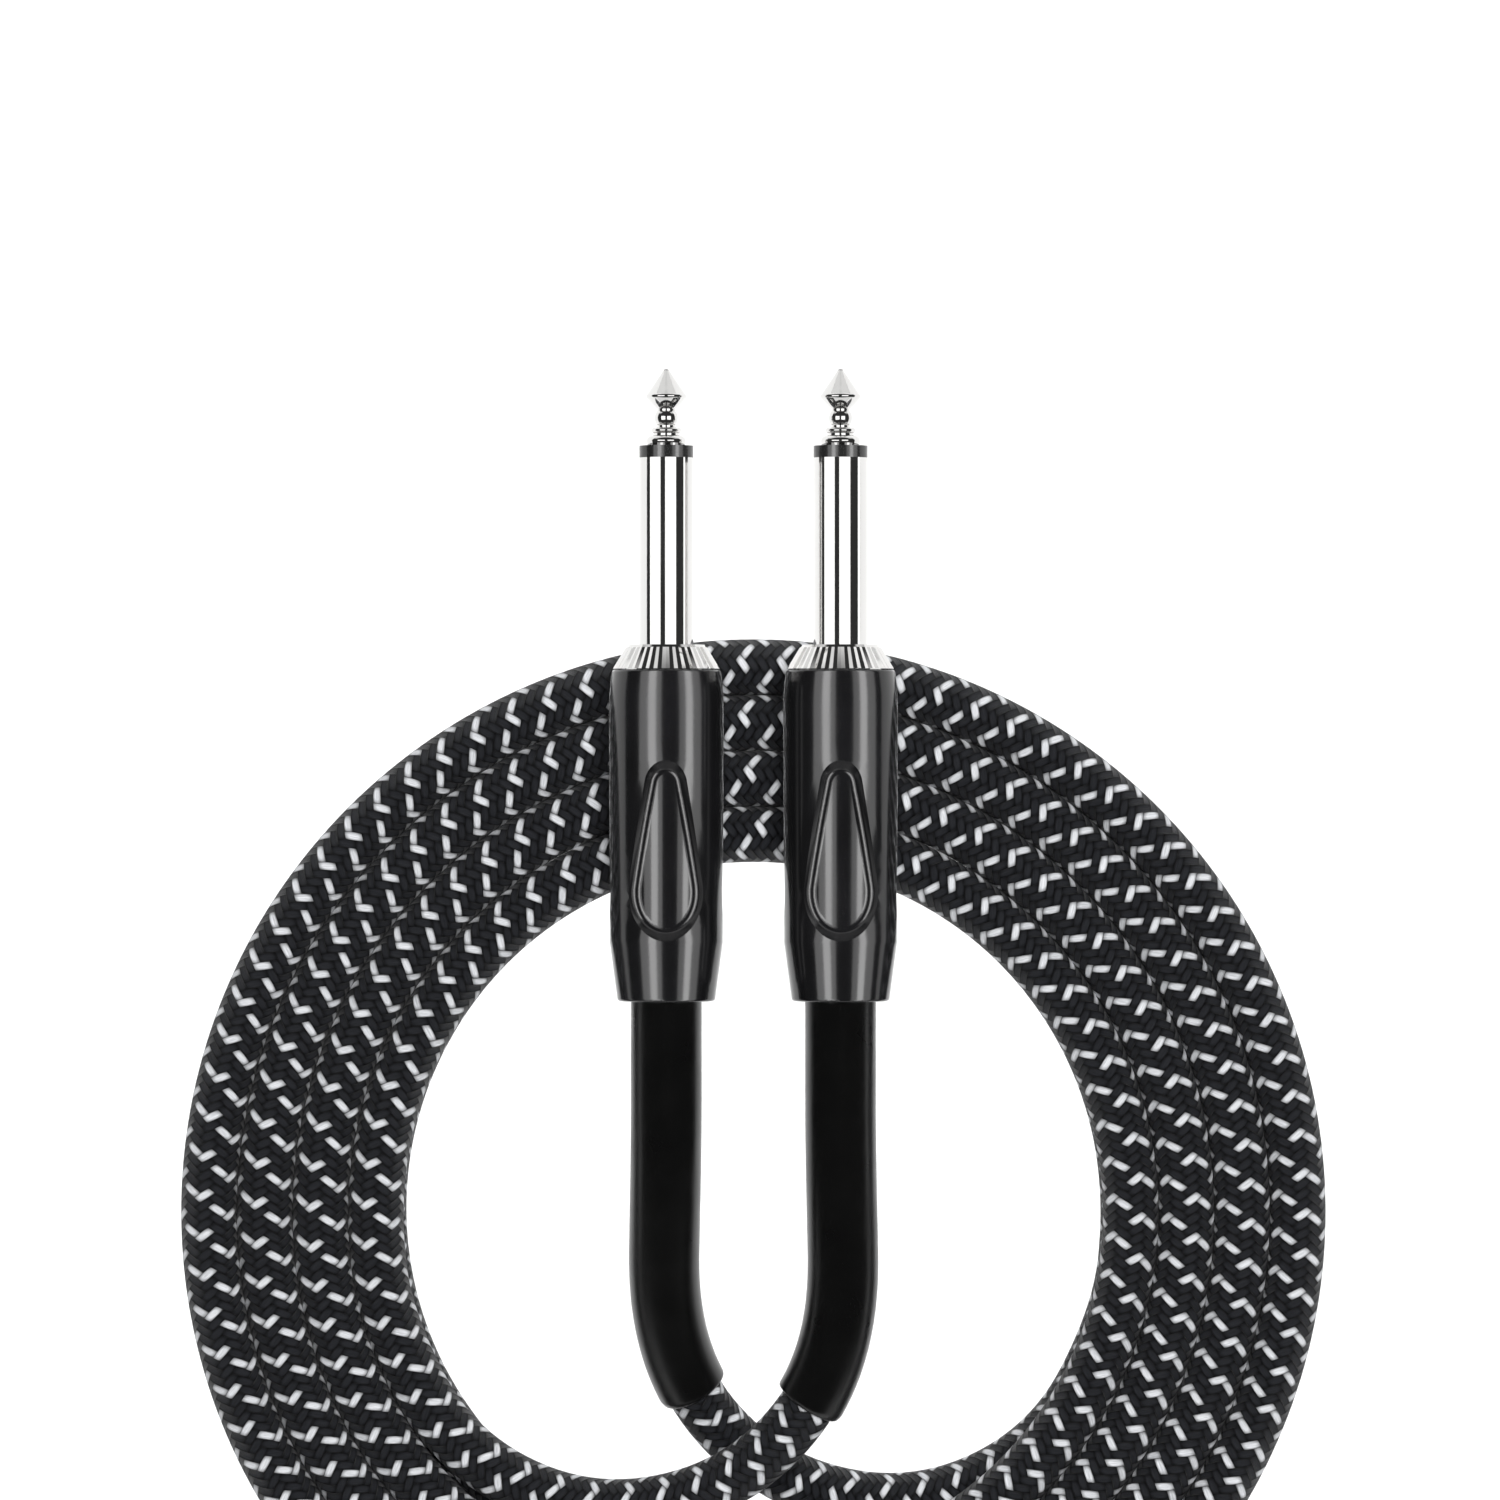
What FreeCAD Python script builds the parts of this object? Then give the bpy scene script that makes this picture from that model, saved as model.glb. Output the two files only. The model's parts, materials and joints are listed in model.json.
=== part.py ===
"""An instrument cable: a woven-jacket lead wound into a flat double-layer coil, with a
quarter-inch mono plug at each end.

The coil lies on the plane z = 0. Both plugs lie side by side on top of it and point along
+Y, and their leads run down into the eye of the coil. The origin is on the resting plane,
under the centre of the whole object's bounding box. All sizes are in millimetres.

Inside a plug, `s` is the distance behind the point of the tip, measured along its axis.
"""

import FreeCAD, Part
import math
import os

from FreeCAD import Vector

# The cable and its coil
CABLE_D = 6.6            # outside the woven jacket
LANES = 4                # turns side by side in one layer
LAYERS = 2
EYE_R = 41.4             # radius of the coil's open centre
COIL_R = EYE_R + LANES * CABLE_D
COIL_H = LAYERS * CABLE_D

# Where the plugs lie
PLUG_SPACING = 20.4      # between the two axes
TIP_REACH = 99.3         # from the coil's centre to the point of a tip
REST_GAP = 0.3           # between a shell and the coil that it lies on

# Tip and ring, in front of the sleeve
TIP_R = 2.4
TIP_S = 3.2              # where the cone is widest
TIP_EDGE = 0.25          # half the width of the rounded edge there
TIP_WAIST_R = 1.65       # where the back of the cone turns into the neck
TIP_WAIST_S = 4.2
POINT_R = 0.35           # of the cone's rounded point
NECK_R = 1.1
NECK_S = 4.7
BEAD_R = 1.4
BEAD_S = 4.9
BEAD_LEN = 1.7
STEP_R = 1.8
STEP_S = 6.85
STEP_LEN = 0.7
STEP_EDGE = 0.3          # how much the step's and the base's rounded edges fall away
BASE_R = 2.35
BASE_S = 7.8
RING_S = 9.0
RING_LEN = 1.4
ROD_R = 0.95
RIVET_R = 1.3
RIVET_LEN = 0.5

# Sleeve
SLEEVE_R = 3.175         # a quarter-inch plug
SLEEVE_BORE_R = 2.4
SLEEVE_LEN = 21.9        # what shows between the ring and the collar
SEAT_R = 3.0             # turned down behind the sleeve's shoulder, where the collar is pressed on
SPIGOT_LEN = 3.6

# Collar, with its cone of slanted knurls and its threaded stem
COLLAR_FRONT_R = 4.75
COLLAR_BACK_R = 6.25
COLLAR_LEN = 2.8
COLLAR_LIP = 0.3
KNURLS = 40
KNURL_DEPTH = 0.13
KNURL_SLANT_DEG = -9.0   # turn of the cone's back outline against its front one
STEM_R = 4.85
STEM_LEN = 5.5

# Screw-on shell
SHELL_LEN = 38.8
SHELL_FRONT_R = 6.4
SHELL_SHOULDER_R = 6.72
SHELL_HIP_R = 6.62
SHELL_END_R = 5.75
SHOULDER_AT = 4.3        # behind the shell's front edge
HIP_AT = 31.9
SHOULDER_SWELL = 0.08    # of the shoulder's curve over a straight taper
EDGE_R = 0.35
SEAT_GAP = 0.1           # between the tightened shell and the collar
THREAD_GAP = 0.05        # radial
SHELL_BORE_R = 4.5
END_WALL = 3.5
RELIEF_GAP = 0.15        # radial, where the strain relief passes through the end wall

# Finger grips: teardrop hollows, evenly spaced round the shell
GRIPS = 3
GRIP_FLOOR_R = 5.3
GRIP_TOP_AT = 13.53      # centre of the small end, behind the shell's front edge
GRIP_TOP_R = 2.33
GRIP_BOTTOM_AT = 26.0
GRIP_BOTTOM_R = 5.16
GRIP_HEIGHT = 6.0        # above the plug's axis, where the teardrop has these radii
GRIP_SLOPE = 0.85        # how far its walls lean out in each millimetre of height
GRIP_LOW = 3.6           # under the lowest of the floor
GRIP_FILLET_R = 0.9

# Insulating liner inside the shell
LINER_R = SHELL_BORE_R - 0.1
LINER_WALL = 0.3
LINER_FRONT_GAP = 1.2
LINER_BACK_GAP = 5.2

# Contacts behind the collar
SHEET = 0.5              # thickness of the stamped lugs
WASHER_R = 3.0
WASHER_LEN = 1.2
GROUND_RING_R = 4.0
ARM_WIDTH = 3.2
ARM_Z = -3.6             # underside of the ground lug's arm
CLAMP_R = 3.3
CLAMP_AT = 58.0
CLAMP_LEN = 6.0
CLAMP_MOUTH = 2.4
TIP_LUG_R = 2.2
TONGUE_WIDTH = 2.4
TONGUE_THICK = 0.4
TONGUE_LOW_Z = -1.85
TONGUE_END = 49.5

# Stripped end of the cable
SHEATH_R = 2.6
CORE_R = 1.3
WIRE_R = 0.45
PIGTAIL_R = 0.5
JACKET_AT = 66.5
SHEATH_AT = 56.0
CORE_AT = 50.0
WIRE_AT = 45.5
PIGTAIL_AT = 50.6
TIP_SOLDER_R = 1.1
TIP_SOLDER_AT = 47.2
GROUND_SOLDER_R = 0.95
GROUND_SOLDER_AT = 52.0
SOLDER_RISE = 0.75       # of the wire's and the joint's radius together
SOLDER_TOP = 0.6         # radius at the top of a joint, as a share of the one at its foot
SOLDER_ROUND = 0.3
SOLDER_FOOT = 0.7        # width of the gap under a wire, as a share of the wire's

# Strain relief: a shrunk tube that grips the cable from inside the shell outwards
RELIEF_R = 4.15
RELIEF_INSIDE = 0.1      # how far it starts in front of the shell's end wall

# Worked out along the plug
SLEEVE_S = RING_S + RING_LEN
COLLAR_S = SLEEVE_S + SLEEVE_LEN
STEM_S = COLLAR_S + COLLAR_LEN
STEM_END = STEM_S + STEM_LEN
SLEEVE_END = STEM_END + SHEET
WASHER_END = SLEEVE_END + WASHER_LEN
TIP_LUG_END = WASHER_END + SHEET
ROD_END = TIP_LUG_END + RIVET_LEN
SHELL_S = STEM_S + SEAT_GAP
SHELL_END = SHELL_S + SHELL_LEN
WALL_S = SHELL_END - END_WALL
RELIEF_AT = WALL_S - RELIEF_INSIDE
TONGUE_TOP_Z = -WIRE_R
TONGUE_STEP = ROD_END + 1.0

# Worked out for the whole
CABLE_R = CABLE_D / 2
COIL_Y = (COIL_R - TIP_REACH) / 2
TIP_Y = COIL_Y + TIP_REACH
AXIS_Z = COIL_H + REST_GAP + SHELL_SHOULDER_R

# Routes of the two leads from the plug to the coil. x and y are from the coil's centre, and
# z is above the resting plane. Lead a drops to the lower layer, and lead b passes over it
# and lands on the upper one.
PLUG_X = PLUG_SPACING / 2
LEAD_START_Y = TIP_REACH - JACKET_AT
LEADS = {
    "a": [
        (-PLUG_X, LEAD_START_Y, AXIS_Z),
        (-PLUG_X, 8.0, AXIS_Z),
        (-PLUG_X - 0.6, -16.6, 12.6),
        (0.6, -31.6, 5.6),
        (18.7, -36.3, 3.5),
        (35.3, -28.8, 3.3),
        (43.7, -12.8, 3.3),
    ],
    "b": [
        (PLUG_X, LEAD_START_Y, AXIS_Z),
        (PLUG_X, 8.0, AXIS_Z),
        (PLUG_X + 0.6, -16.6, 18.0),
        (-0.6, -31.6, 14.4),
        (-18.7, -36.3, 11.0),
        (-35.3, -28.8, 9.9),
        (-43.7, -12.8, 9.9),
    ],
}
ARC_SHARE = 0.45         # of the shorter run, taken by the arc on each side of a point


def ring_solid(s0, s1, outer, inner=0.0):
    """A round bar or tube round the plug's axis, from s0 to s1."""
    base, back = Vector(0, -s0, 0), Vector(0, -1, 0)
    solid = Part.makeCylinder(outer, s1 - s0, base, back)
    if inner:
        solid = solid.cut(Part.makeCylinder(inner, s1 - s0, base, back))
    return solid


def plate(s0, s1, width, z0, z1):
    """A flat bar along the plug, centred in x."""
    return Part.makeBox(width, s1 - s0, z1 - z0, Vector(-width / 2, -s1, z0))


def turned(points):
    """A turned solid. Each entry is (s, r), or ((s, r), (s, r)) for an arc through the first
    to the second. The outline closes on itself."""
    at = lambda p: Vector(p[1], -p[0], 0)
    edges, last = [], at(points[0])
    for p in [*points[1:], points[0]]:
        if isinstance(p[0], tuple):
            edges.append(Part.Arc(last, at(p[0]), at(p[1])).toShape())
            last = at(p[1])
        elif last.distanceToPoint(at(p)) > 1e-9:
            edges.append(Part.LineSegment(last, at(p)).toShape())
            last = at(p)
    face = Part.Face(Part.Wire(edges))
    return face.revolve(Vector(0, 0, 0), Vector(0, 1, 0), 360)


def tip():
    """The tip contact: cone, neck, bead, step and base, on a rod riveted at the back."""
    bead_end = BEAD_S + BEAD_LEN
    return turned([
        (0.0, 0.0),
        (0.0, POINT_R / 2),
        ((POINT_R / 7, POINT_R * 0.85), (POINT_R / 2, POINT_R)),
        (TIP_S - TIP_EDGE, TIP_R - TIP_EDGE / 2),
        ((TIP_S, TIP_R), (TIP_S + TIP_EDGE, TIP_R - TIP_EDGE / 3)),
        ((TIP_WAIST_S, TIP_WAIST_R), (NECK_S, NECK_R)),
        (BEAD_S, NECK_R),
        (((BEAD_S + bead_end) / 2, BEAD_R), (bead_end, NECK_R)),
        (STEP_S, NECK_R),
        (STEP_S, STEP_R - STEP_EDGE),
        ((STEP_S + STEP_LEN / 2, STEP_R), (STEP_S + STEP_LEN, STEP_R - STEP_EDGE)),
        (BASE_S, STEP_R - STEP_EDGE),
        ((BASE_S + 0.25, BASE_R - STEP_EDGE / 2), (BASE_S + 0.7, BASE_R)),
        (RING_S, BASE_R - STEP_EDGE / 3),
        (RING_S, ROD_R),
        (TIP_LUG_END, ROD_R),
        (TIP_LUG_END, RIVET_R),
        ((ROD_END - RIVET_LEN * 0.3, RIVET_R * 0.8), (ROD_END, RIVET_R / 2)),
        (ROD_END, 0.0),
    ])


def tip_ring():
    """The insulating ring between tip and sleeve, with the spigot that centres it."""
    ring = ring_solid(RING_S, SLEEVE_S, SLEEVE_R, ROD_R)
    spigot = ring_solid(SLEEVE_S, SLEEVE_S + SPIGOT_LEN, SLEEVE_BORE_R, ROD_R)
    return ring.fuse(spigot).removeSplitter()


def sleeve():
    """The ground contact: a tube with a turned-down seat for the collar behind its shoulder."""
    front = ring_solid(SLEEVE_S, COLLAR_S, SLEEVE_R, SLEEVE_BORE_R)
    return front.fuse(ring_solid(COLLAR_S, SLEEVE_END, SEAT_R, SLEEVE_BORE_R)).removeSplitter()


def star(s, radius, turn_deg):
    """A closed zigzag round the axis: the outline of the knurled cone at s."""
    corners = []
    for i in range(2 * KNURLS):
        angle = math.radians(turn_deg) + math.pi * i / KNURLS
        r = radius - (KNURL_DEPTH if i % 2 else 0.0)
        corners.append(Vector(r * math.cos(angle), -s, r * math.sin(angle)))
    return Part.makePolygon([*corners, corners[0]])


def collar():
    """The plug's front collar: a smooth lip, a cone of slanted knurls and a threaded stem."""
    lip = turned([
        (COLLAR_S, SEAT_R),
        (COLLAR_S, COLLAR_FRONT_R - KNURL_DEPTH - COLLAR_LIP / 2),
        (COLLAR_S + COLLAR_LIP, COLLAR_FRONT_R - KNURL_DEPTH),
        (COLLAR_S + COLLAR_LIP, SEAT_R),
    ])
    outlines = [
        star(COLLAR_S + COLLAR_LIP, COLLAR_FRONT_R, 0.0),
        star(STEM_S, COLLAR_BACK_R, KNURL_SLANT_DEG),
    ]
    cone = Part.makeLoft(outlines, True, True)
    cone = cone.cut(ring_solid(COLLAR_S, STEM_S, SEAT_R))
    stem = ring_solid(STEM_S, STEM_END, STEM_R, SEAT_R)
    return lip.fuse([cone, stem]).removeSplitter()


def ground_lug():
    """The stamped lug behind the collar: a ring round the sleeve, an arm, and the clamp."""
    ring = ring_solid(STEM_END, SLEEVE_END, GROUND_RING_R, SEAT_R)
    arm = plate(SLEEVE_END, CLAMP_AT + CLAMP_LEN, ARM_WIDTH, ARM_Z, ARM_Z + SHEET)
    clamp = ring_solid(CLAMP_AT, CLAMP_AT + CLAMP_LEN, CLAMP_R, SHEATH_R)
    clamp = clamp.cut(plate(CLAMP_AT, CLAMP_AT + CLAMP_LEN, CLAMP_MOUTH, 0.0, CLAMP_R))
    arm = arm.cut(ring_solid(CLAMP_AT, CLAMP_AT + CLAMP_LEN, SHEATH_R))
    return ring.fuse([arm, clamp]).removeSplitter()


def tip_lug():
    """The tag riveted to the tip's rod, with the tongue that the centre wire lands on."""
    disc = ring_solid(WASHER_END, TIP_LUG_END, TIP_LUG_R, ROD_R)
    low = plate(WASHER_END, TONGUE_STEP, TONGUE_WIDTH, TONGUE_LOW_Z, TONGUE_LOW_Z + TONGUE_THICK)
    web = plate(TONGUE_STEP - TONGUE_THICK, TONGUE_STEP, TONGUE_WIDTH, TONGUE_LOW_Z, TONGUE_TOP_Z)
    tongue = plate(
        TONGUE_STEP - TONGUE_THICK, TONGUE_END, TONGUE_WIDTH,
        TONGUE_TOP_Z - TONGUE_THICK, TONGUE_TOP_Z,
    )
    return disc.fuse([low, web, tongue]).removeSplitter()


def centre_wire():
    """The copper conductor between the core's end and the tip tag."""
    return ring_solid(WIRE_AT, CORE_AT, WIRE_R)


def shield_pigtail():
    """The shield, gathered into one strand that lies on the ground lug's arm."""
    height = Vector(0, 0, ARM_Z + SHEET + PIGTAIL_R)
    return ring_solid(PIGTAIL_AT, SHEATH_AT, PIGTAIL_R).translated(height)


def solder(s, radius, wire_r, floor):
    """A rounded joint over a wire that lies on a lug, at the height of the lug's top."""
    height = (wire_r + radius) * SOLDER_RISE
    bead = Part.makeCone(radius, radius * SOLDER_TOP, height, Vector(0, -s, floor), Vector(0, 0, 1))
    bead = bead.makeFillet(radius * SOLDER_ROUND, [bead.Edges[0]])
    wire = ring_solid(s - 2 * radius, s + 2 * radius, wire_r).translated(Vector(0, 0, floor + wire_r))
    under = plate(s - 2 * radius, s + 2 * radius, 2 * wire_r * SOLDER_FOOT, floor, floor + wire_r)
    return bead.cut([wire, under])


def grip_outline(height):
    """The teardrop, as a closed wire at a height above the plug's axis."""
    lean = GRIP_SLOPE * (height - GRIP_HEIGHT)
    r_small, r_large = GRIP_TOP_R + lean, GRIP_BOTTOM_R + lean
    y_small, y_large = -(SHELL_S + GRIP_TOP_AT), -(SHELL_S + GRIP_BOTTOM_AT)
    tilt = math.asin((r_large - r_small) / (y_small - y_large))
    side = lambda r, y, sign: Vector(sign * r * math.cos(tilt), y + r * math.sin(tilt), height)
    top = Vector(0, y_small + r_small, height)
    bottom = Vector(0, y_large - r_large, height)
    right, left = (
        (side(r_small, y_small, sign), side(r_large, y_large, sign)) for sign in (1, -1)
    )
    return Part.Wire([
        Part.Arc(left[0], top, right[0]).toShape(),
        Part.LineSegment(right[0], right[1]).toShape(),
        Part.Arc(right[1], bottom, left[1]).toShape(),
        Part.LineSegment(left[1], left[0]).toShape(),
    ])


def grip_hollow():
    """What one finger grip takes out of the shell: a teardrop with leaning walls and a rounded
    floor edge."""
    outlines = [grip_outline(GRIP_LOW), grip_outline(SHELL_SHOULDER_R + 1.0)]
    hollow = Part.makeLoft(outlines, True, True)
    hollow = hollow.cut(ring_solid(SHELL_S, SHELL_END, GRIP_FLOOR_R))
    on_floor = [
        e for e in hollow.Edges
        if all(abs(math.hypot(v.X, v.Z) - GRIP_FLOOR_R) < 1e-4 for v in e.Vertexes)
    ]
    return hollow.makeFillet(GRIP_FILLET_R, on_floor)


def shell():
    """The screw-on shell: shouldered outside, with its thread, bore, end wall and grips."""
    outside = turned([
        (SHELL_S, 0.0),
        (SHELL_S, SHELL_FRONT_R - EDGE_R),
        ((SHELL_S + EDGE_R * 0.3, SHELL_FRONT_R - EDGE_R * 0.3), (SHELL_S + EDGE_R, SHELL_FRONT_R)),
        ((SHELL_S + SHOULDER_AT * 0.55, (SHELL_FRONT_R + SHELL_SHOULDER_R) / 2 + SHOULDER_SWELL),
         (SHELL_S + SHOULDER_AT, SHELL_SHOULDER_R)),
        (SHELL_S + HIP_AT, SHELL_HIP_R),
        (SHELL_END - EDGE_R, SHELL_END_R),
        (
            (SHELL_END - EDGE_R * 0.3, SHELL_END_R - EDGE_R * 0.3),
            (SHELL_END, SHELL_END_R - EDGE_R),
        ),
        (SHELL_END, 0.0),
    ])
    inside = ring_solid(SHELL_S, STEM_END + SEAT_GAP, STEM_R + THREAD_GAP)
    inside = inside.fuse(ring_solid(SHELL_S, WALL_S, SHELL_BORE_R))
    inside = inside.fuse(ring_solid(RELIEF_AT - RELIEF_GAP, SHELL_END, RELIEF_R + RELIEF_GAP))
    body = outside.cut(inside)
    for i in range(GRIPS):
        hollow = grip_hollow()
        hollow.rotate(Vector(0, 0, 0), Vector(0, 1, 0), i * 360 / GRIPS)
        body = body.cut(hollow)
    return body


def liner():
    """The plastic tube that keeps the contacts off the shell."""
    back = WALL_S - LINER_BACK_GAP
    return ring_solid(SLEEVE_END + LINER_FRONT_GAP, back, LINER_R, LINER_R - LINER_WALL)


def route_edges(points):
    """Straight runs joined by tangent arcs, as large as the runs allow, and their radii."""
    corners = [Vector(*p) for p in points]
    edges, radii, last = [], [], corners[0]
    for before, here, after in zip(corners, corners[1:], corners[2:]):
        into, out = here - before, after - here
        cut = ARC_SHARE * min(into.Length, out.Length)
        half_turn = into.getAngle(out) / 2
        into.normalize()
        out.normalize()
        radius = cut / math.tan(half_turn)
        start, end = here - into * cut, here + out * cut
        bisector = (out - into).normalize()
        middle = here + bisector * (radius / math.cos(half_turn) - radius)
        edges.append(Part.LineSegment(last, start).toShape())
        edges.append(Part.Arc(start, middle, end).toShape())
        radii.append(radius)
        last = end
    edges.append(Part.LineSegment(last, corners[-1]).toShape())
    return edges, radii


def tube(edges, radius):
    """A round bar swept along joined edges."""
    wire = Part.Wire(edges)
    start = wire.OrderedVertexes[0].Point
    first = edges[0]
    heading = first.tangentAt(first.FirstParameter)
    section = Part.Wire(Part.makeCircle(radius, start, heading))
    return wire.makePipeShell([section], True, False)


def coil():
    """The coil's outer shape: a ring with a rounded section."""
    r = CABLE_R
    inner, outer, top = EYE_R, COIL_R, COIL_H
    at = lambda x, z: Vector(x, 0, z)
    slant = r * (1 - math.sqrt(0.5))
    edges = [
        Part.LineSegment(at(inner + r, 0), at(outer - r, 0)).toShape(),
        Part.Arc(at(outer - r, 0), at(outer - slant, slant), at(outer, r)).toShape(),
        Part.LineSegment(at(outer, r), at(outer, top - r)).toShape(),
        Part.Arc(at(outer, top - r), at(outer - slant, top - slant), at(outer - r, top)).toShape(),
        Part.LineSegment(at(outer - r, top), at(inner + r, top)).toShape(),
        Part.Arc(at(inner + r, top), at(inner + slant, top - slant), at(inner, top - r)).toShape(),
        Part.LineSegment(at(inner, top - r), at(inner, r)).toShape(),
        Part.Arc(at(inner, r), at(inner + slant, slant), at(inner + r, 0)).toShape(),
    ]
    face = Part.Face(Part.Wire(edges))
    return face.revolve(Vector(0, 0, 0), Vector(0, 0, 1), 360)


def plug_pieces():
    """Every piece of one plug but its strain relief, by name, with the tip at the origin."""
    return {
        "tip": tip(),
        "tip_ring": tip_ring(),
        "sleeve": sleeve(),
        "rod_insulator": ring_solid(SLEEVE_S + SPIGOT_LEN, SLEEVE_END, SLEEVE_BORE_R, ROD_R),
        "collar": collar(),
        "washer": ring_solid(SLEEVE_END, WASHER_END, WASHER_R, ROD_R),
        "ground_lug": ground_lug(),
        "tip_lug": tip_lug(),
        "centre_wire": centre_wire(),
        "core_insulation": ring_solid(CORE_AT, SHEATH_AT, CORE_R),
        "shield_pigtail": shield_pigtail(),
        "inner_sheath": ring_solid(SHEATH_AT, JACKET_AT, SHEATH_R),
        "tip_solder": solder(TIP_SOLDER_AT, TIP_SOLDER_R, WIRE_R, TONGUE_TOP_Z),
        "ground_solder": solder(GROUND_SOLDER_AT, GROUND_SOLDER_R, PIGTAIL_R, ARM_Z + SHEET),
        "liner": liner(),
        "shell": shell(),
    }


def lead_pieces(side, ring):
    """One lead, cut by the coil, and the strain relief over its first run and bend."""
    edges, radii = route_edges(LEADS[side])
    length = sum(e.Length for e in edges)
    lead = tube(edges, CABLE_R)
    share = lead.Volume / (math.pi * CABLE_R**2 * length)
    print(f"lead {side}: radii {[round(r, 1) for r in radii]}, length {length:.1f}, share {share:.4f}")
    start, end = (v.Point for v in edges[0].Vertexes)
    start = start + Vector(0, JACKET_AT - RELIEF_AT, 0)
    gripped = [Part.LineSegment(start, end).toShape(), edges[1]]
    relief = tube(gripped, RELIEF_R).cut(tube(gripped, CABLE_R))
    return {"cable_lead": lead.cut(ring), "strain_relief": relief}


def main():
    os.makedirs("parts", exist_ok=True)
    ring = coil()
    at_coil = Vector(0, COIL_Y, 0)
    nodes = {"cable_coil": ring.translated(at_coil)}
    for side, sign in (("a", -1), ("b", 1)):
        at_tip = Vector(sign * PLUG_X, TIP_Y, AXIS_Z)
        for name, solid in plug_pieces().items():
            nodes[f"{name}_{side}"] = solid.translated(at_tip)
        for name, solid in lead_pieces(side, ring).items():
            nodes[f"{name}_{side}"] = solid.translated(at_coil)
    for name, solid in sorted(nodes.items()):
        if not solid.isValid() or not solid.Solids:
            raise ValueError(f"{name} isn't a valid solid")
        solid.exportStep(f"parts/{name}.step")
    print(len(nodes), "nodes")


main()
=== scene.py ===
"""Looks of the instrument cable: the woven cord as one smooth line through both leads and all
the turns of the coil, the shrunk strain reliefs, and materials for the two plugs.

Lengths are in metres, unless a name or a comment says otherwise.
"""

import json
import math

import bpy
import numpy as np
from mathutils import Matrix, Vector


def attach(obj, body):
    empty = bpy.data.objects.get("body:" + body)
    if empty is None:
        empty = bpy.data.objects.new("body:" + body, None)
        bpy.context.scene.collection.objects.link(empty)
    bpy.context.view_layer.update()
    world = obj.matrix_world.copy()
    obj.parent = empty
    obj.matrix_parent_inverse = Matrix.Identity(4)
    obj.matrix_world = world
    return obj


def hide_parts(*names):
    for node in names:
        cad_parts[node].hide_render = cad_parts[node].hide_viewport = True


MM = 0.001

# The cord and its coil, in millimetres, as the CAD model has them
CABLE_D = 6.6
EYE_R = 41.4
COIL_Y = -15.75
LEADS = {
    "a": [
        (-10.2, 32.8, 20.22),
        (-10.2, 8.0, 20.22),
        (-10.8, -16.6, 12.6),
        (0.6, -31.6, 5.6),
        (18.7, -36.3, 3.5),
        (35.3, -28.8, 3.3),
        (43.7, -12.8, 3.3),
    ],
    "b": [
        (10.2, 32.8, 20.22),
        (10.2, 8.0, 20.22),
        (10.8, -16.6, 18.0),
        (-0.6, -31.6, 14.4),
        (-18.7, -36.3, 11.0),
        (-35.3, -28.8, 9.9),
        (-43.7, -12.8, 9.9),
    ],
}

STRAIGHT_POINTS = (8.0, 16.0)    # behind the start of a lead, on its straight run

# The winding: angles in degrees, counter-clockwise from +X round the coil's centre
LANES = 4
TURN_POINTS = 24
STEP_OUT_AT = 250.0      # a lower turn moves out to the next lane
CLIMB_AT = 240.0         # the last lower turn climbs to the upper layer
CLIMB_SPAN = 60.0
STEP_IN_AT = 215.0       # an upper turn moves in to the next lane
STEP_SPAN = 75.0
JOIN_AT = 0.0            # after lead a has come in
LEAVE_AT = 180.0         # before lead b leaves

# The woven jacket
RING_STEP = 1.5          # millimetres between the tube's rings
RING_SIDES = 36
CARRIERS = 12            # yarns that run each way
LAY = 14.0               # millimetres along the cord for one turn of a yarn
MAP_STRIPS = 12

# Strain reliefs, in millimetres
RELIEF_R = 4.15
RELIEF_START = 70.4      # behind the point of the tip
JACKET_START = 66.5
RELIEF_LEN = 52.0
RELIEF_LIP = 0.8         # how much of each end is rounded
RELIEF_HUG = 0.05        # between a rounded end and the jacket
RELIEF_RING_STEP = 1.0
RELIEF_SIDES = 48
LIP_RINGS = 9


# ---------------------------------------------------------------- node helpers


def new_material(name):
    """A material, its node tree and its Principled shader."""
    material = bpy.data.materials.new(name)
    material.use_nodes = True
    tree = material.node_tree
    return material, tree, tree.nodes["Principled BSDF"]


def set_shader(shader, **values):
    """Sets the shader's own sockets. An underscore in a name stands for a space."""
    for name, value in values.items():
        shader.inputs[name.replace("_", " ")].default_value = value


def calc(tree, operation, *values):
    """A math node over numbers or sockets, and its result."""
    node = tree.nodes.new("ShaderNodeMath")
    node.operation = operation
    for socket, value in zip(node.inputs, values):
        if isinstance(value, (int, float)):
            socket.default_value = value
        else:
            tree.links.new(value, socket)
    return node.outputs[0]


def pick(tree, factor, zero, one):
    """zero where factor is 0 and one where it is 1."""
    node = tree.nodes.new("ShaderNodeMix")
    for socket, value in zip((node.inputs[0], node.inputs[2], node.inputs[3]), (factor, zero, one)):
        if isinstance(value, (int, float)):
            socket.default_value = value
        else:
            tree.links.new(value, socket)
    return node.outputs[0]


def tint(tree, factor, zero, one):
    """A colour mix. zero and one are colours or sockets."""
    node = tree.nodes.new("ShaderNodeMix")
    node.data_type = "RGBA"
    tree.links.new(factor, node.inputs[0])
    for socket, value in zip((node.inputs[6], node.inputs[7]), (zero, one)):
        if isinstance(value, tuple):
            socket.default_value = (*value, 1.0)
        else:
            tree.links.new(value, socket)
    return node.outputs[2]


def combine(tree, x, y, z):
    node = tree.nodes.new("ShaderNodeCombineXYZ")
    for socket, value in zip(node.inputs, (x, y, z)):
        if isinstance(value, (int, float)):
            socket.default_value = value
        else:
            tree.links.new(value, socket)
    return node.outputs[0]


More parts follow.
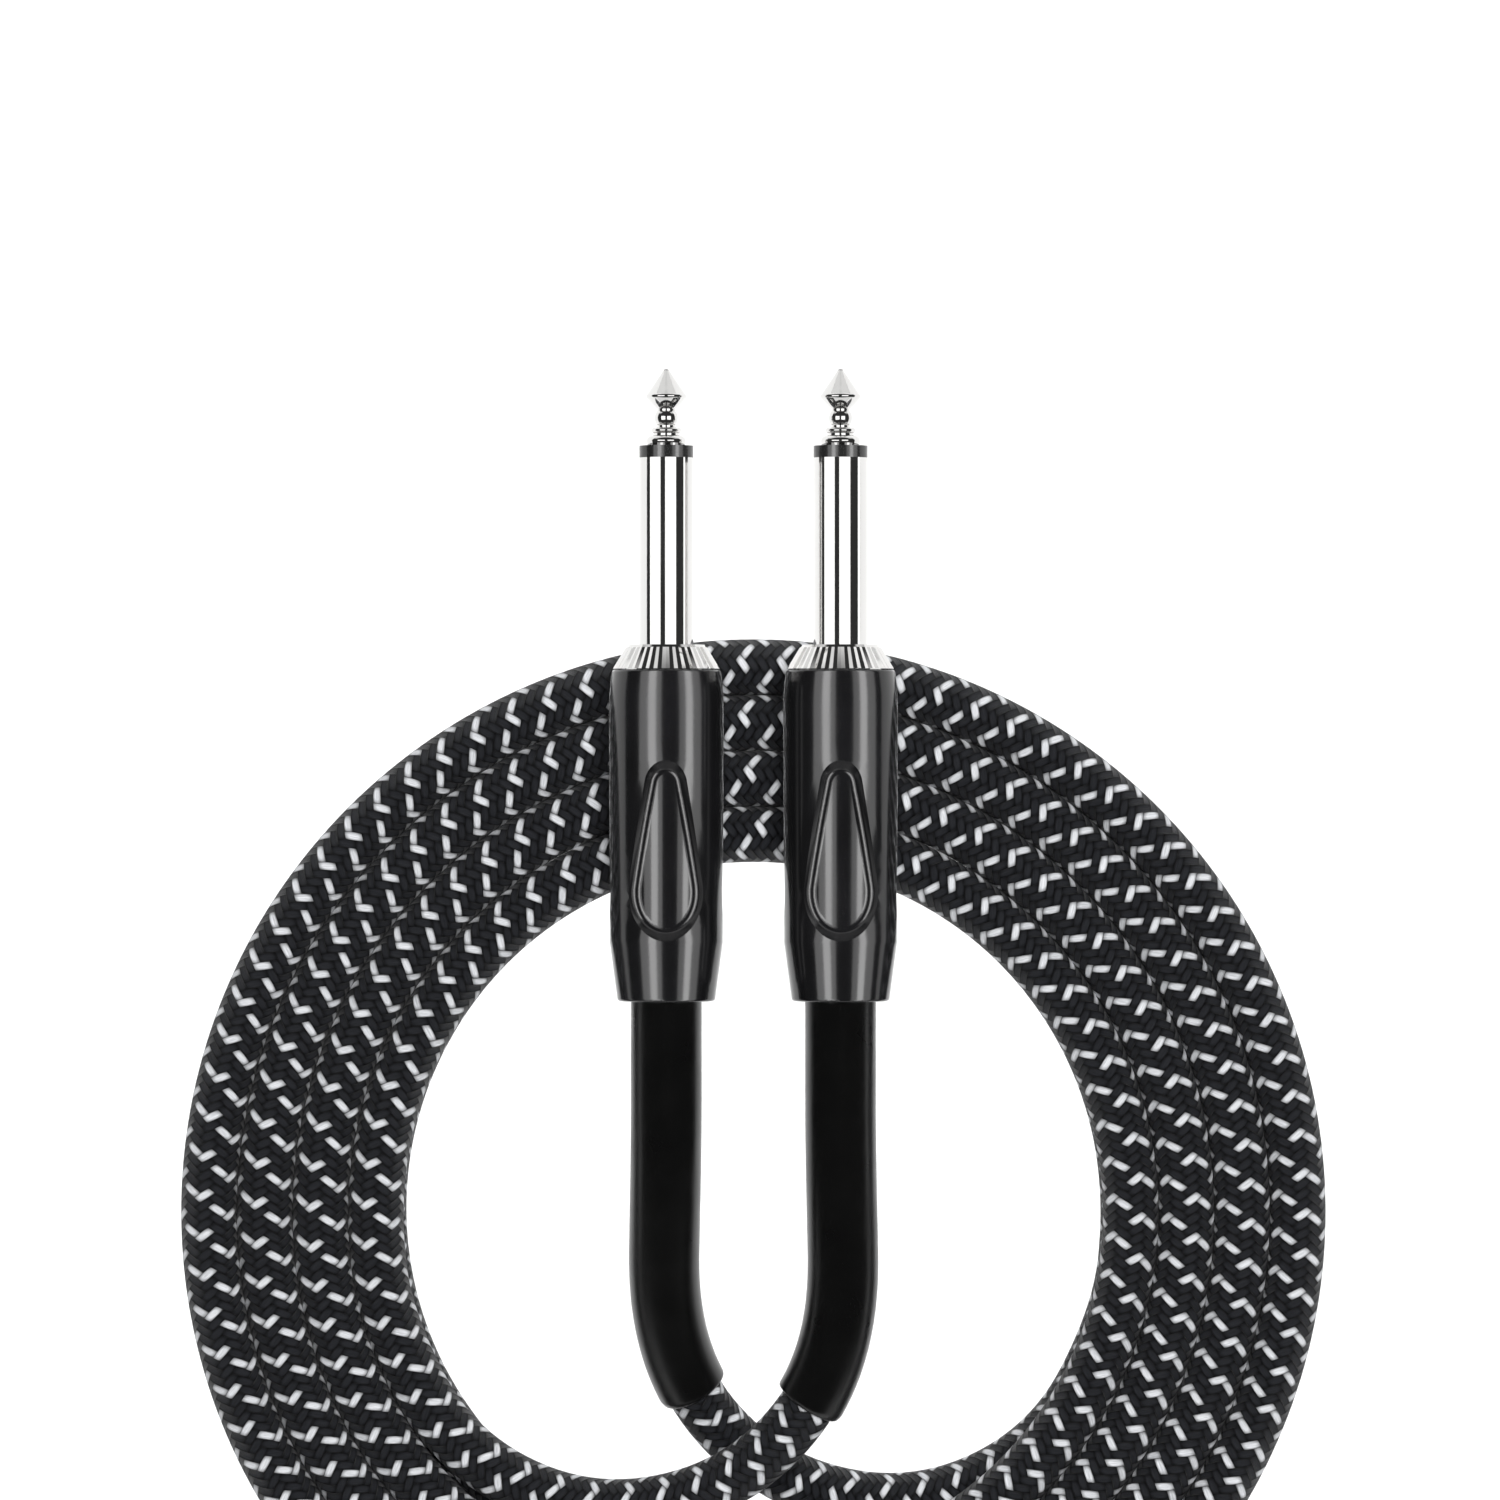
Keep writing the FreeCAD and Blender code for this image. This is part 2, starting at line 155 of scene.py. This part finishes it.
def noise(tree, scale, detail=3.0, vector=None, roughness=0.55):
    """A noise texture's value, over the object's own coordinates unless vector is given."""
    node = tree.nodes.new("ShaderNodeTexNoise")
    node.inputs["Scale"].default_value = scale
    node.inputs["Detail"].default_value = detail
    node.inputs["Roughness"].default_value = roughness
    if vector is None:
        vector = tree.nodes.new("ShaderNodeTexCoord").outputs["Object"]
    tree.links.new(vector, node.inputs["Vector"])
    return node.outputs["Fac"]


def span(tree, value, low, high, to_low, to_high):
    """value mapped from one range to another, and held at its ends."""
    node = tree.nodes.new("ShaderNodeMapRange")
    tree.links.new(value, node.inputs[0])
    for socket, number in zip(list(node.inputs)[1:5], (low, high, to_low, to_high)):
        socket.default_value = number
    return node.outputs[0]


def bump(tree, shader, height, depth, strength=1.0):
    """Bumps the shader by a height of 0 to 1 times depth."""
    node = tree.nodes.new("ShaderNodeBump")
    node.inputs["Strength"].default_value = strength
    node.inputs["Distance"].default_value = depth
    tree.links.new(height, node.inputs["Height"])
    tree.links.new(node.outputs[0], shader.inputs["Normal"])


# ---------------------------------------------------------------- materials


def woven_jacket():
    """A braid of 12 yarns each way, over two and under two. Every fourth yarn is grey, and painted shade
    darkens each yarn where it lies low, at its edges and where it dives under another.
    """
    material, tree, shader = new_material("woven_jacket")
    coords = tree.nodes.new("ShaderNodeUVMap")
    coords.uv_map = "weave"
    split = tree.nodes.new("ShaderNodeSeparateXYZ")
    tree.links.new(coords.outputs[0], split.inputs[0])
    along = calc(tree, "MULTIPLY", split.outputs[0], -CARRIERS / LAY)
    around = calc(tree, "MULTIPLY", split.outputs[1], CARRIERS)
    right = calc(tree, "ADD", around, along)
    left = calc(tree, "SUBTRACT", around, along)
    right_yarn, left_yarn = calc(tree, "FLOOR", right), calc(tree, "FLOOR", left)
    crossing = calc(tree, "FLOORED_MODULO", calc(tree, "ADD", right_yarn, left_yarn), 4.0)
    right_on_top = calc(tree, "LESS_THAN", crossing, 1.5)

    across = pick(tree, right_on_top, calc(tree, "FRACT", left), calc(tree, "FRACT", right))
    right_float = calc(tree, "FLOORED_MODULO", calc(tree, "ADD", right_yarn, left), 4.0)
    left_float = calc(tree, "FLOORED_MODULO", calc(tree, "ADD", right, left_yarn), 4.0)
    left_float = calc(tree, "SUBTRACT", left_float, 2.0)
    on_float = pick(tree, right_on_top, left_float, right_float)
    centred = calc(tree, "MULTIPLY_ADD", across, 2.0, -1.0)
    crown = calc(tree, "SQRT", calc(tree, "SUBTRACT", 1.02, calc(tree, "MULTIPLY", centred, centred)))
    arch = calc(tree, "SINE", calc(tree, "MULTIPLY", on_float, math.pi / 2))
    height = calc(tree, "MULTIPLY", crown, calc(tree, "MULTIPLY_ADD", arch, 0.55, 0.45))

    right_grey = calc(tree, "COMPARE", calc(tree, "FLOORED_MODULO", right_yarn, 4.0), 0.0, 0.5)
    left_grey = calc(tree, "COMPARE", calc(tree, "FLOORED_MODULO", left_yarn, 4.0), 2.0, 0.5)
    grey = pick(tree, right_on_top, left_grey, right_grey)

    yarn = pick(tree, right_on_top, calc(tree, "ADD", left_yarn, 37.0), right_yarn)
    strand = combine(tree, calc(tree, "MULTIPLY", across, 8.0),
                     calc(tree, "MULTIPLY", on_float, 0.35), calc(tree, "MULTIPLY", yarn, 3.7))
    fibres = noise(tree, 1.6, 3.0, strand, 0.7)
    dark = tint(tree, fibres, (0.003, 0.0033, 0.004), (0.026, 0.027, 0.031))
    light = tint(tree, span(tree, fibres, 0.3, 0.7, 0.0, 1.0), (0.40, 0.41, 0.43), (0.70, 0.71, 0.73))
    colour = tint(tree, grey, dark, light)
    # Painted shade: the yarns' colour is multiplied down to 0.04 where a yarn lies low, at its edges and
    # where it passes under another yarn.
    shade = span(tree, height, 0.25, 0.80, 0.04, 1.0)
    painted_shade_mix = tree.nodes.new("ShaderNodeMix")
    painted_shade_mix.data_type = "RGBA"
    painted_shade_mix.blend_type = "MULTIPLY"
    painted_shade_mix.inputs[0].default_value = 1.0
    tree.links.new(colour, painted_shade_mix.inputs[6])
    tree.links.new(shade, painted_shade_mix.inputs[7])
    tree.links.new(painted_shade_mix.outputs[2], shader.inputs["Base Color"])
    relief = calc(tree, "MULTIPLY_ADD", fibres, 0.22, height)
    bump(tree, shader, relief, 0.28 * MM)
    set_shader(shader, Roughness=0.62, Specular_IOR_Level=0.35, Sheen_Weight=0.05, Sheen_Roughness=0.4)
    return material


def plated(name, colour, roughness):
    """Bright plating, with the faint turning marks and handling marks of a used plug."""
    material, tree, shader = new_material(name)
    marks = noise(tree, 900.0, 4.0)
    clouds = noise(tree, 90.0, 3.0)
    gloss = span(tree, clouds, 0.35, 0.75, roughness * 0.7, roughness * 1.6)
    tone = tint(tree, clouds, tuple(0.94 * c for c in colour), colour)
    tree.links.new(gloss, shader.inputs["Roughness"])
    tree.links.new(tone, shader.inputs["Base Color"])
    bump(tree, shader, marks, 0.002 * MM, 0.6)
    set_shader(shader, Metallic=1.0)
    return material


def shell_paint():
    """Semi-gloss black paint over a moulded metal shell, with a faint orange-peel."""
    material, tree, shader = new_material("black_shell")
    peel = noise(tree, 1500.0, 2.0)
    clouds = noise(tree, 120.0, 3.0)
    tone = tint(tree, clouds, (0.0015, 0.0015, 0.0015), (0.003, 0.003, 0.0035))
    gloss = span(tree, clouds, 0.3, 0.8, 0.13, 0.19)
    tree.links.new(tone, shader.inputs["Base Color"])
    tree.links.new(gloss, shader.inputs["Roughness"])
    bump(tree, shader, peel, 0.006 * MM, 0.4)
    set_shader(shader, Specular_IOR_Level=0.5, Sheen_Weight=0.10, Sheen_Roughness=0.25)
    return material


def moulded(name, dark, light, roughness, grain=0.01):
    """Plain moulded or extruded plastic, with a slight change of tone and a fine grain."""
    material, tree, shader = new_material(name)
    clouds = noise(tree, 200.0, 3.0)
    gloss = span(tree, clouds, 0.3, 0.8, roughness * 0.85, roughness * 1.2)
    tree.links.new(tint(tree, clouds, dark, light), shader.inputs["Base Color"])
    tree.links.new(gloss, shader.inputs["Roughness"])
    bump(tree, shader, noise(tree, 2500.0, 2.0), grain * MM, 0.5)
    return material


def bare_metal(name, colour, roughness):
    """A bare stamping, wire or joint, with uneven tone."""
    material, tree, shader = new_material(name)
    clouds = noise(tree, 700.0, 4.0)
    tone = tint(tree, clouds, tuple(0.7 * c for c in colour), colour)
    gloss = span(tree, clouds, 0.3, 0.8, roughness * 0.8, roughness * 1.4)
    tree.links.new(tone, shader.inputs["Base Color"])
    tree.links.new(gloss, shader.inputs["Roughness"])
    bump(tree, shader, clouds, 0.02 * MM, 0.6)
    set_shader(shader, Metallic=1.0)
    return material


# ---------------------------------------------------------------- the cord's line


def ease(angle, start, width):
    """0 before start, 1 after start + width, and a smooth step between."""
    t = min(max((angle - start) / width, 0.0), 1.0)
    return t * t * (3.0 - 2.0 * t)


def winding():
    """The turns: out through the lower layer, up in the outer lane, and in through the upper."""
    inside = math.cos(math.pi / TURN_POINTS)
    climb = 360.0 * (LANES - 1) + CLIMB_AT
    last = 360.0 * (2 * LANES - 1) + LEAVE_AT
    step = 360.0 / TURN_POINTS
    points = []
    for k in range(round((last - JOIN_AT) / step) + 1):
        angle = JOIN_AT + k * step
        out = sum(ease(angle, STEP_OUT_AT + 360.0 * m, STEP_SPAN) for m in range(LANES - 1))
        back = sum(ease(angle, STEP_IN_AT + 360.0 * (LANES + m), STEP_SPAN) for m in range(LANES - 1))
        radius = (EYE_R + CABLE_D * (0.5 + out - back)) / inside
        height = CABLE_D * (0.5 + ease(angle, climb, CLIMB_SPAN))
        turn = math.radians(angle)
        points.append((radius * math.cos(turn), radius * math.sin(turn), height))
    return points


def lead_points(side):
    """A lead's points, with more on its first run so that it leaves the plug straight."""
    (x, y, z), *rest = LEADS[side]
    return [(x, y - back, z) for back in (0.0, *STRAIGHT_POINTS)] + rest


def cord_points():
    """Control points of the whole cord, in the object's frame and in metres."""
    route = [*lead_points("a"), *winding(), *reversed(lead_points("b"))]
    return [Vector((x, y + COIL_Y, z)) * MM for x, y, z in route]


def smooth_line(points, spacing):
    """Evenly spaced points along the smooth spline that has these control points."""
    curve = bpy.data.curves.new("cord_line", "CURVE")
    curve.dimensions = "3D"
    spline = curve.splines.new("NURBS")
    spline.points.add(len(points) - 1)
    for place, point in zip(spline.points, points):
        place.co = (*point, 1.0)
    spline.order_u = 3
    spline.use_endpoint_u = True
    spline.resolution_u = 24
    carrier = bpy.data.objects.new("cord_line", curve)
    mesh = bpy.data.meshes.new_from_object(carrier)
    dense = np.array([v.co for v in mesh.vertices], float)
    bpy.data.objects.remove(carrier)
    bpy.data.curves.remove(curve)
    bpy.data.meshes.remove(mesh)
    at = np.concatenate([[0.0], np.cumsum(np.linalg.norm(np.diff(dense, axis=0), axis=1))])
    wanted = np.linspace(0.0, at[-1], round(at[-1] / spacing) + 1)
    return np.stack([np.interp(wanted, at, dense[:, k]) for k in range(3)], axis=1)


def frames_along(line):
    """Two directions square to the line at each of its points, which never spin about it."""
    ahead = np.gradient(line, axis=0)
    ahead /= np.linalg.norm(ahead, axis=1)[:, None]
    side = np.cross(ahead[0], (0.0, 0.0, 1.0))
    sides = []
    for direction in ahead:
        side = side - direction * side.dot(direction)
        side /= np.linalg.norm(side)
        sides.append(side)
    sides = np.array(sides)
    return sides, np.cross(sides, ahead)


# ---------------------------------------------------------------- pieces


def tube_mesh(name, line, radii, sides):
    """A closed tube round the line. Rings come first, in order, and each end is one flat face."""
    across, up = frames_along(line)
    angles = np.arange(sides) * 2.0 * math.pi / sides
    ring = (across[:, None] * np.cos(angles)[None, :, None] + up[:, None] * np.sin(angles)[None, :, None])
    places = line[:, None] + ring * np.asarray(radii)[:, None, None]
    rings = len(line)
    row = np.arange(rings - 1)[:, None] * sides
    col = np.arange(sides)[None, :]
    after = (col + 1) % sides
    quads = np.stack([row + col, row + after, row + sides + after, row + sides + col], axis=-1)
    faces = quads.reshape(-1, 4).tolist()
    faces.append(list(range(sides))[::-1])
    faces.append([(rings - 1) * sides + k for k in range(sides)])
    mesh = bpy.data.meshes.new(name)
    mesh.from_pydata(places.reshape(-1, 3).tolist(), [], faces)
    mesh.shade_smooth()
    for cap in (-1, -2):
        mesh.polygons[cap].use_smooth = False
    return mesh


def link(name, mesh, material, body):
    """An object for the mesh, which rides on a body."""
    piece = bpy.data.objects.new(name, mesh)
    bpy.context.scene.collection.objects.link(piece)
    mesh.materials.append(material)
    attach(piece, body)
    return piece


def map_tube(mesh, length, rings, sides):
    """Two maps on a tube: "weave" holds millimetres along and turns round, and "OFBake" lays
    the tube in strips that fill a square."""
    rows = rings - 1
    row, col = np.divmod(np.arange(rows * sides), sides)
    corner_row = row[:, None] + np.array([0, 0, 1, 1])[None, :]
    corner_col = col[:, None] + np.array([0, 1, 1, 0])[None, :]
    weave = np.stack([corner_row * (length / MM / rows), corner_col / sides], axis=-1)
    strip_rows = math.ceil(rows / MAP_STRIPS)
    strip = row // strip_rows
    margin = 0.02
    flat_u = (corner_row - (strip * strip_rows)[:, None]) / strip_rows
    flat_v = (strip[:, None] + margin + corner_col / sides * (1.0 - 2.0 * margin)) / MAP_STRIPS
    flat = np.stack([0.004 + 0.992 * flat_u, flat_v], axis=-1)
    for name, values in (("OFBake", flat), ("weave", weave)):
        caps = np.zeros((2 * sides, 2))
        corners = np.concatenate([values.reshape(-1, 2), caps]).astype(np.float32)
        layer = mesh.uv_layers.new(name=name)
        layer.uv.foreach_set("vector", corners.ravel())
    mesh.uv_layers.active = mesh.uv_layers["OFBake"]


def make_cord(material):
    """The woven cord, from plug a, through the coil, to plug b."""
    line = smooth_line(cord_points(), RING_STEP * MM)
    length = float(np.linalg.norm(np.diff(line, axis=0), axis=1).sum())
    mesh = tube_mesh("cord", line, np.full(len(line), CABLE_D / 2 * MM), RING_SIDES)
    map_tube(mesh, length, len(line), RING_SIDES)
    cord = link("cord", mesh, material, "cable")
    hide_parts("cable_coil", "cable_lead_a", "cable_lead_b")
    return cord, line, length


def make_relief(side, line, material):
    """A shrunk tube over a stretch of the cord near its plug, rounded at both ends."""
    start = RELIEF_START - JACKET_START
    lip = np.linspace(0.0, RELIEF_LIP, LIP_RINGS)
    middle = np.arange(RELIEF_LIP + RELIEF_RING_STEP, RELIEF_LEN - RELIEF_LIP, RELIEF_RING_STEP)
    at = np.concatenate([lip, middle, RELIEF_LEN - lip[::-1]])
    travelled = np.concatenate([[0.0], np.cumsum(np.linalg.norm(np.diff(line, axis=0), axis=1))]) / MM
    covered = np.stack([np.interp(start + at, travelled, line[:, k]) for k in range(3)], axis=1)
    from_end = np.minimum(np.minimum(at, RELIEF_LEN - at) / RELIEF_LIP, 1.0)
    fall = RELIEF_R - CABLE_D / 2 - RELIEF_HUG
    radii = (RELIEF_R - fall * (1.0 - np.sqrt(1.0 - (1.0 - from_end) ** 2))) * MM
    mesh = tube_mesh(f"relief_{side}", covered, radii, RELIEF_SIDES)
    relief = link(f"relief_{side}", mesh, material, "cable")
    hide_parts(f"strain_relief_{side}")
    return relief


# ---------------------------------------------------------------- studio


def area_light(name, place, aim, width, length, radiance, only=None, glossy=True, blockers=None):
    """A soft panel. only is the collection that it lights, and blockers is the collection
    that can shade it, so it is sampled from the lamp's side only."""
    data = bpy.data.lights.new(name, "AREA")
    data.shape = "RECTANGLE"
    data.size = width
    data.size_y = length
    data.energy = radiance * math.pi * width * length
    lamp = bpy.data.objects.new(name, data)
    lamp.location = place
    back = (Vector(place) - Vector(aim)).normalized()
    lamp.rotation_euler = back.to_track_quat("Z", "Y").to_euler()
    lamp.visible_camera = False
    lamp.visible_glossy = glossy
    bpy.context.scene.collection.objects.link(lamp)
    if only:
        lamp.light_linking.receiver_collection = only
    if blockers:
        lamp.light_linking.blocker_collection = blockers
        data.cycles.use_multiple_importance_sampling = False
    return lamp


def arch_panel(name, centre, low_deg, high_deg, radiance, only, length=1.6):
    """A long panel beside the plugs' direction, that covers this range of angles from overhead,
    positive towards +X."""
    distance = 0.7
    angle = math.radians((low_deg + high_deg) / 2)
    width = 2 * distance * math.tan(math.radians(high_deg - low_deg) / 2)
    place = centre + Vector((math.sin(angle), 0.0, math.cos(angle))) * distance
    lamp = area_light(name, place, centre, width, length, radiance, only)
    across = Vector((math.cos(angle), 0.0, -math.sin(angle)))
    back = Vector((math.sin(angle), 0.0, math.cos(angle)))
    turn = [across, Vector((0.0, 1.0, 0.0)), back]
    lamp.rotation_euler = rotation_from(turn)
    return lamp


def rotation_from(columns):
    """Euler angles of the turn that takes X, Y and Z to these three directions."""
    return Matrix(columns).transposed().to_euler()


def collection_of(name, objects):
    group = bpy.data.collections.new(name)
    for piece in objects:
        group.objects.link(piece)
    return group


def make_world():
    """A dim surround that is bright only low down, in front of the plugs and behind them."""
    world = bpy.data.worlds.new("studio")
    world.use_nodes = True
    tree = world.node_tree
    background = tree.nodes["Background"]
    coords = tree.nodes.new("ShaderNodeTexCoord")
    split = tree.nodes.new("ShaderNodeSeparateXYZ")
    tree.links.new(coords.outputs["Generated"], split.inputs[0])
    low = span(tree, split.outputs[2], 0.29, 0.38, 1.0, 0.0)
    ahead = span(tree, calc(tree, "ABSOLUTE", split.outputs[1]), 0.5, 0.75, 0.0, 1.0)
    bright = calc(tree, "MULTIPLY_ADD", calc(tree, "MULTIPLY", low, ahead), 0.96, 0.04)
    tree.links.new(bright, background.inputs["Strength"])
    background.inputs["Color"].default_value = (1.0, 1.0, 1.0, 1.0)
    bpy.context.scene.world = world


def make_floor():
    material, tree, shader = new_material("pale_floor")
    tone = tint(tree, noise(tree, 30.0, 2.0), (0.93, 0.93, 0.93), (0.95, 0.95, 0.95))
    tree.links.new(tone, shader.inputs["Base Color"])
    set_shader(shader, Roughness=0.9, Specular_IOR_Level=0.1)
    mesh = bpy.data.meshes.new("floor")
    half = 3.0
    corners = [(-half, -half, 0), (half, -half, 0), (half, half, 0), (-half, half, 0)]
    mesh.from_pydata(corners, [], [(0, 1, 2, 3)])
    mesh.materials.append(material)
    floor = bpy.data.objects.new("floor", mesh)
    bpy.context.scene.collection.objects.link(floor)
    return floor


def make_backdrop():
    """A pale round wall behind everything, which lights and mirrors nothing."""
    material, tree, shader = new_material("pale_backdrop")
    black, white = (0.0, 0.0, 0.0, 1.0), (1.0, 1.0, 1.0, 1.0)
    set_shader(shader, Base_Color=black, Emission_Color=white, Emission_Strength=1.0)
    sides, radius, height = 64, 2.8, 3.0
    angles = [k * 2.0 * math.pi / sides for k in range(sides)]
    places = [(radius * math.cos(a), radius * math.sin(a), z) for z in (-0.01, height) for a in angles]
    faces = [(k, (k + 1) % sides, sides + (k + 1) % sides, sides + k) for k in range(sides)]
    mesh = bpy.data.meshes.new("backdrop")
    mesh.from_pydata(places, [], faces)
    mesh.materials.append(material)
    wall = bpy.data.objects.new("backdrop", mesh)
    wall.visible_diffuse = wall.visible_glossy = wall.visible_shadow = False
    bpy.context.scene.collection.objects.link(wall)


def make_camera(centre):
    """Straight down on the plugs, with the coil's lower part past the frame's edge."""
    data = bpy.data.cameras.new("camera")
    frame_width, plane_z = 0.1764, 0.0165
    data.lens = 180.0
    data.sensor_width = 36.0
    distance = frame_width * data.lens / data.sensor_width
    camera = bpy.data.objects.new("camera", data)
    camera.location = (-0.0004, centre, plane_z + distance)
    bpy.context.scene.collection.objects.link(camera)
    bpy.context.scene.camera = camera


# ---------------------------------------------------------------- putting it together


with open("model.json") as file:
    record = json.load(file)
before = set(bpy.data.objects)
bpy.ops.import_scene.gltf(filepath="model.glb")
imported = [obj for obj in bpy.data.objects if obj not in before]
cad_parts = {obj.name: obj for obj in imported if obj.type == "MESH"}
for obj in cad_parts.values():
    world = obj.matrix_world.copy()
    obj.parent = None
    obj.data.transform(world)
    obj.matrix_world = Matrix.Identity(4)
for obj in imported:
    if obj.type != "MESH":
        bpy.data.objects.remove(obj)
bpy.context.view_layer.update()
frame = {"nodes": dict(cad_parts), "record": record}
nodes = frame["nodes"]
bpy.context.scene.view_settings.view_transform = "Standard"

nickel = plated("nickel_plate", (0.69, 0.685, 0.675), 0.06)
FINISHES = {
    "nickel_plate": nickel,
    "black_ring": moulded("black_ring", (0.004, 0.004, 0.004), (0.008, 0.008, 0.008), 0.18, 0.002),
    "black_shell": shell_paint(),
    "inner_sheath": moulded("inner_sheath", (0.01, 0.01, 0.01), (0.02, 0.02, 0.02), 0.5),
    "insulator": moulded("insulator", (0.62, 0.61, 0.56), (0.72, 0.71, 0.66), 0.4),
    "tinned_lug": bare_metal("tinned_lug", (0.72, 0.71, 0.69), 0.28),
    "copper": bare_metal("copper", (0.80, 0.42, 0.25), 0.3),
    "solder": bare_metal("solder", (0.70, 0.70, 0.71), 0.22),
}
for part in frame["record"]["subparts"]:
    finish = FINISHES.get(part["material_slot"])
    if finish:
        node = nodes[part["node"]]
        node.data.materials.clear()
        node.data.materials.append(finish)

cord, line, cord_length = make_cord(woven_jacket())
shrink = moulded("shrink_tube", (0.0015, 0.0015, 0.0015), (0.003, 0.003, 0.003), 0.32, 0.01)
reliefs = [make_relief("a", line, shrink), make_relief("b", line[::-1], shrink)]

tips = [n for n in nodes.values() if n.name[:-2] == "tip"]
sleeves = [n for n in nodes.values() if n.name[:-2] == "sleeve"]
shells = [n for n in nodes.values() if n.name[:-2] in ("shell", "tip_ring")]
centre = Vector((0.0, COIL_Y * MM + 0.06, 0.02))
tip_centre = Vector((0.0, COIL_Y * MM + 0.094, 0.02))
tips_only = collection_of("tips", tips)
sleeves_only = collection_of("sleeves", sleeves)
shell_only = collection_of("shells", shells)
make_world()
floor = make_floor()
make_backdrop()
floor_only = collection_of("floor_only", [floor])
cable_only = collection_of("cable_only", [*nodes.values(), cord, *reliefs])
area_light("key", (0.1, 0.2, 1.2), (0, 0, 0), 0.5, 0.5, 27.0, cable_only, glossy=False)
area_light("floor_fill", (0.0, 0.0, 1.5), (0, 0, 0), 4.0, 4.0, 1.9, floor_only,
           glossy=False, blockers=floor_only)
for k, (low, high) in enumerate([(-73, -25), (-5, 42), (79, 90)]):
    arch_panel(f"sleeve_panel_{k}", centre, low, high, 1.75, sleeves_only)
for k, (low, high) in enumerate([(-50, -10), (8, 45)]):
    arch_panel(f"tip_panel_{k}", tip_centre, low, high, 1.75, tips_only, length=0.45)
SHELL_PANELS = [(-56, -10, 2.6), (-37, -21, 5.5), (26, 75, 2.2), (40, 55, 6.0)]
for k, (low, high, radiance) in enumerate(SHELL_PANELS):
    arch_panel(f"shell_panel_{k}", centre, low, high, radiance, shell_only)
make_camera(COIL_Y * MM + 0.05468)
